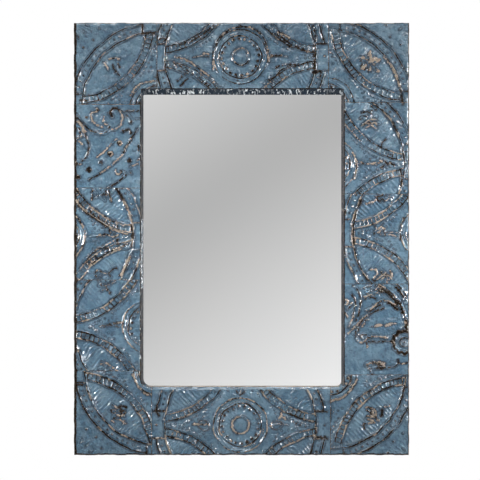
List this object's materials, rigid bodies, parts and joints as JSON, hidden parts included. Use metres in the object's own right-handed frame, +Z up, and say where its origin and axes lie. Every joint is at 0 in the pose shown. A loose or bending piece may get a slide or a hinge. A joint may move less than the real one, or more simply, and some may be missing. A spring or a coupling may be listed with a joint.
{
  "type": "wall mirror",
  "caption": "Rectangular wall mirror in a wide flat wooden frame clad in embossed, worn blue painted tin tile, with swinging D-ring hangers behind.",
  "frame": {"origin": "middle of the wall plane, which is the plane of the four bumpers' flat back faces", "axes": "+Z up the mirror's long side, +Y from the mirror into the wall, +X to the right of someone who looks at the mirror"},
  "size_m": [0.6118, 0.0291, 0.7888],
  "materials": {
    "embossed_tin": "thick glossy worn paint",
    "painted_nails": "glossy worn paint",
    "frame_wood": "planed bare pine",
    "hardboard": "smooth pressed board",
    "mirror": "silvered float glass",
    "zinc_steel": "bright zinc",
    "bumper_rubber": "matt"
  },
  "bodies": {
    "root": {"backing_board": "hardboard", "backing_tacks": "zinc_steel", "bumper_bottom_left": "bumper_rubber", "bumper_bottom_right": "bumper_rubber", "bumper_top_left": "bumper_rubber", "bumper_top_right": "bumper_rubber", "hanger_screws": "zinc_steel", "hanger_strap_left": "zinc_steel", "hanger_strap_right": "zinc_steel", "mirror_glass": "mirror", "mitre_fasteners": "zinc_steel", "outer_edge_nails": "painted_nails", "rail_bottom": "frame_wood", "rail_top": "frame_wood", "sight_edge_brads": "painted_nails", "stile_left": "frame_wood", "stile_right": "frame_wood", "tin_bottom": "embossed_tin", "tin_corner_bottom_left": "embossed_tin", "tin_corner_bottom_right": "embossed_tin", "tin_corner_top_left": "embossed_tin", "tin_corner_top_right": "embossed_tin", "tin_left_lower": "embossed_tin", "tin_left_middle": "embossed_tin", "tin_left_upper": "embossed_tin", "tin_right_lower": "embossed_tin", "tin_right_middle": "embossed_tin", "tin_right_upper": "embossed_tin", "tin_top": "embossed_tin"},
    "ring_left": {"hanger_ring_left": "zinc_steel"},
    "ring_right": {"hanger_ring_right": "zinc_steel"}
  },
  "joints": [
    {"name": "ring_left_swing", "type": "hinge", "parent": "root", "child": "ring_left", "pos_m": [-0.244, -0.00364, 0.2435], "axis": [-1, 0, 0], "range_deg": [0, 172]},
    {"name": "ring_right_swing", "type": "hinge", "parent": "root", "child": "ring_right", "pos_m": [0.244, -0.00364, 0.2435], "axis": [-1, 0, 0], "range_deg": [0, 172]}
  ]
}
